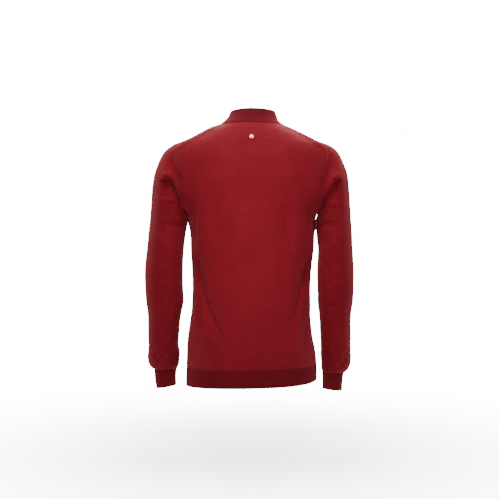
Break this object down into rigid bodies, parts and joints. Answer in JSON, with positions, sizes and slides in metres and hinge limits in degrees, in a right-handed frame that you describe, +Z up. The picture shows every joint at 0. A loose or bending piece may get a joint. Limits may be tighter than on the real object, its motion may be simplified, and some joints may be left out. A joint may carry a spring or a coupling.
{
  "type": "sweater",
  "caption": "Fine-knit sweater with long set-in sleeves, a stand-up rib collar, rib cuffs and a rib hem, holding the shape of a worn upper body",
  "frame": {"origin": "centre of the neckline, level with the base of the collar, where an unseen form holds the garment up", "axes": "+X to the wearer's left, -Y to the front, +Z up"},
  "size_m": [0.5531, 0.232, 0.7445],
  "materials": {
    "knit": "fine plain knit, matte with a faint wool sheen",
    "rib_knit": "fine rib knit, matte",
    "collar_knit": "fine rib knit, matte",
    "stud_metal": "polished rose gold"
  },
  "bodies": {
    "root": {"back": "knit", "front": "knit", "sleeve_left": "knit", "sleeve_right": "knit", "cuff_left": "rib_knit", "cuff_right": "rib_knit", "hem_back": "rib_knit", "hem_front": "rib_knit", "collar": "collar_knit", "nape_stud": "stud_metal"}
  },
  "joints": []
}
